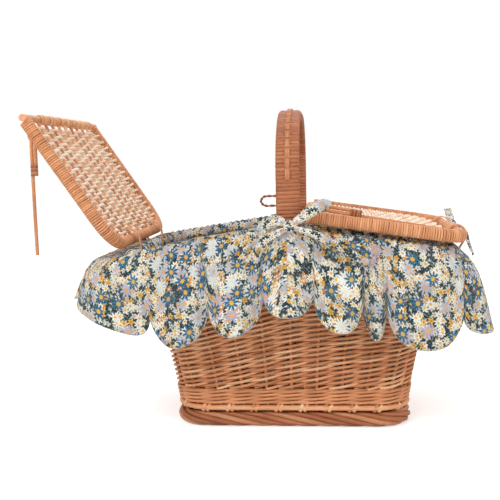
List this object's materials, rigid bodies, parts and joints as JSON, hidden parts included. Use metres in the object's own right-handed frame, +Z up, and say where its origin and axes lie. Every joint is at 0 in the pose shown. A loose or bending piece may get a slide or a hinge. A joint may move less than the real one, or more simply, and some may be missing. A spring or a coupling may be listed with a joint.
{
  "type": "sewing basket",
  "caption": "Rectangular willow sewing basket with a hoop handle, two hinged lids with closing pegs, and a cotton liner with a scalloped skirt and ties.",
  "frame": {"origin": "middle of the basket's underside, on the surface it stands on, in the plane of the handle", "axes": "+Z up; +X along the basket's length towards the right lid's hinge; +Y towards the back, across the width"},
  "size_m": [0.5766, 0.3584, 0.4103],
  "materials": {
    "willow": "satin peeled willow",
    "willow_dark": "satin peeled willow, darker",
    "willow_pale": "satin peeled willow, pale",
    "cotton": "printed plain-weave cotton"
  },
  "bodies": {
    "basket": {"base_panel": "willow", "foot_border": "willow_dark", "foot_band": "willow", "waling_band": "willow", "stake_cage": "willow", "siding": "willow", "rim_border": "willow", "centre_bar": "willow", "handle_rod_1": "willow", "handle_rod_2": "willow", "handle_rod_3": "willow", "handle_wrapping": "willow_dark", "handle_leader": "willow_dark", "liner_bag": "cotton", "skirt_back_right": "cotton", "skirt_back_left": "cotton", "skirt_front_left": "cotton", "skirt_front_right": "cotton", "tie_front": "cotton", "tie_back": "cotton", "tie_left": "cotton", "tie_right": "cotton", "closure_loop_left": "willow", "closure_loop_right": "willow", "left_hinge_loop_front": "willow", "left_hinge_loop_back": "willow", "right_hinge_loop_front": "willow", "right_hinge_loop_back": "willow"},
    "left_lid": {"left_lid_rail": "willow", "left_lid_frame": "willow", "left_lid_panel": "willow_pale", "left_lid_coils": "willow", "left_peg_staple": "willow"},
    "right_lid": {"right_lid_rail": "willow", "right_lid_frame": "willow", "right_lid_panel": "willow_pale", "right_lid_coils": "willow", "right_peg_staple": "willow"},
    "left_peg": {"left_peg": "willow", "left_peg_binding": "willow_dark"},
    "right_peg": {"right_peg": "willow", "right_peg_binding": "willow_dark"}
  },
  "joints": [
    {"name": "left_lid_hinge", "type": "hinge", "parent": "basket", "child": "left_lid", "pos_m": [-0.21, 0, 0.2463], "axis": [0, 1, 0], "range_deg": [0, 115.7], "deforming": ["closure_loop_left"]},
    {"name": "right_lid_hinge", "type": "hinge", "parent": "basket", "child": "right_lid", "pos_m": [0.21, 0, 0.2463], "axis": [0, 1, 0], "range_deg": [0, 115.7], "deforming": ["tie_right"]},
    {"name": "left_peg_swing", "type": "hinge", "parent": "left_lid", "child": "left_peg", "pos_m": [-0.31894, -0.117, 0.38142], "axis": [0, 1, 0], "range_deg": [-34, 75]},
    {"name": "right_peg_swing", "type": "hinge", "parent": "right_lid", "child": "right_peg", "pos_m": [0.041, -0.117, 0.28586], "axis": [0, 1, 0], "range_deg": [-105, 0]}
  ]
}
